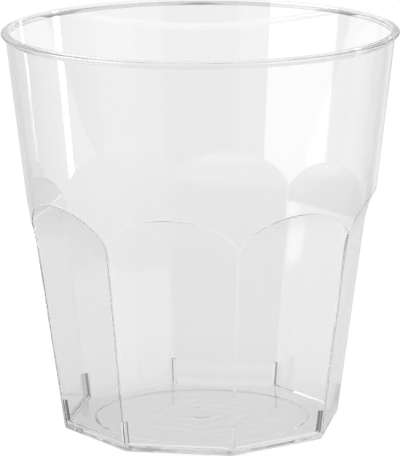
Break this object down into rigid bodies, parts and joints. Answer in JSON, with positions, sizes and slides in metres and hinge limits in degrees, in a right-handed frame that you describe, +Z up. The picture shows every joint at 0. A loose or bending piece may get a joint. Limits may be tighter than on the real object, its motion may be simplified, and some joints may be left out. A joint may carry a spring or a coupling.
{
  "type": "plastic tumbler",
  "caption": "Clear moulded tumbler: round tapered upper wall, flat facets with arched tops below, rounded rim, recessed underside and small stacking ribs inside the foot.",
  "frame": {"origin": "centre of the standing ring, at the level of the surface that the tumbler stands on", "axes": "+Z up along the tumbler's axis; a corner between two facets lies on each of +X, -X, +Y and -Y"},
  "size_m": [0.0846, 0.0846, 0.0862],
  "materials": {
    "clear_plastic": "clear, polished"
  },
  "bodies": {
    "root": {"tumbler": "clear_plastic"}
  },
  "joints": []
}
